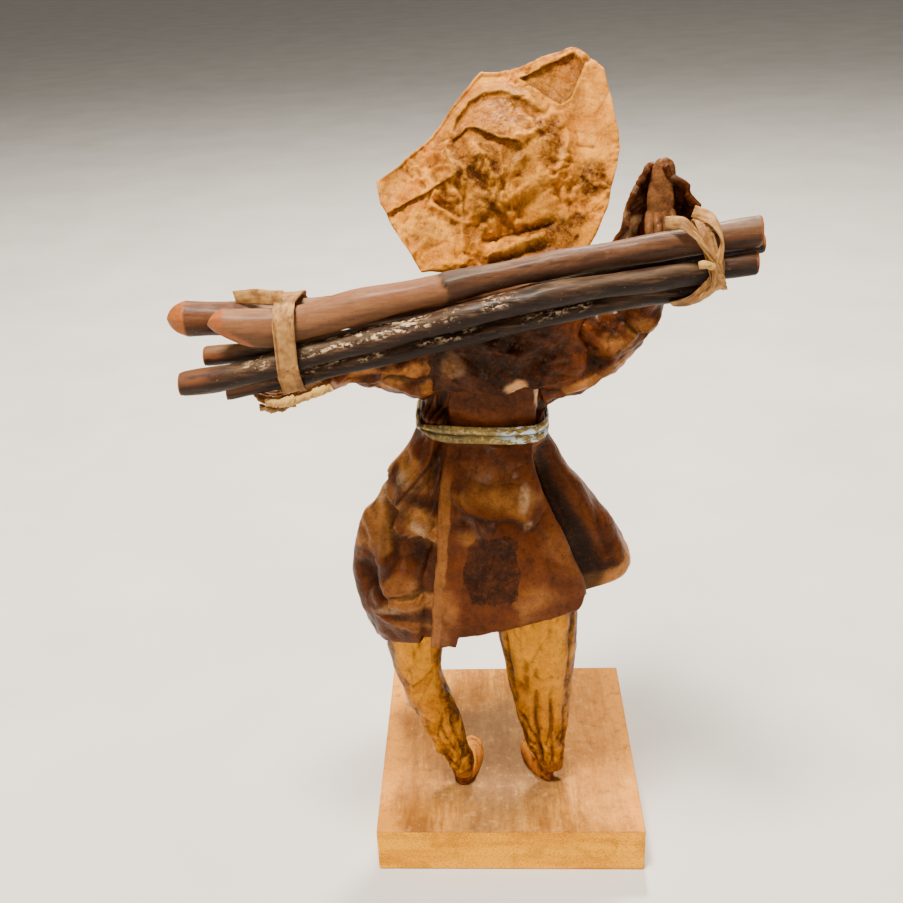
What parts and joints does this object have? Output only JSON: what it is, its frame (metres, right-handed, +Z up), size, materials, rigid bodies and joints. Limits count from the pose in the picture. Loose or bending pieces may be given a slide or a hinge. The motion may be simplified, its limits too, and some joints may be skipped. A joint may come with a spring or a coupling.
{
  "type": "papier-mache figure",
  "caption": "Crumpled papier-mache figure in a belted tunic and wide hat, carrying a tied bundle of sticks across its back, standing on a square wooden block.",
  "frame": {"origin": "centre of the wooden block's underside", "axes": "+Z up; +Y the way the figure faces; +X towards its right hand"},
  "size_m": [0.1825, 0.1029, 0.2862],
  "materials": {
    "block_wood": "satin stained top, raw sawn edges",
    "shoe_paper": "varnished orange-brown paper",
    "trouser_paper": "glossy golden-ochre varnished paper, creased",
    "tunic_paper": "crumpled brown paper with dark stain and satin varnish",
    "belt_ribbon": "flat olive-gold ribbon with worn pale blue flecks",
    "skin_paper": "smooth painted paper skin, satin",
    "hat_paper": "crushed golden-tan kraft paper with brown stain in the folds",
    "bark": "rough dark grey-brown bark",
    "peeled_twig": "half-peeled twig, smooth pinkish brown and dark bark",
    "raffia": "dull tan strip"
  },
  "bodies": {
    "root": {"base_block": "block_wood", "foot_left": "shoe_paper", "foot_right": "shoe_paper", "leg_left": "trouser_paper", "leg_right": "trouser_paper", "tunic": "tunic_paper", "back_panel": "tunic_paper", "belt": "belt_ribbon", "shoulder_sheet": "tunic_paper", "sleeve_left": "tunic_paper", "sleeve_right": "tunic_paper", "cuff_right": "tunic_paper", "hand_left": "skin_paper", "hand_right": "skin_paper", "head": "skin_paper", "hat": "hat_paper", "stick_back": "bark", "stick_peeled": "peeled_twig", "stick_long": "bark", "stick_inner": "bark", "stick_thin": "bark", "tie_left": "raffia", "tie_right": "raffia"}
  },
  "joints": []
}
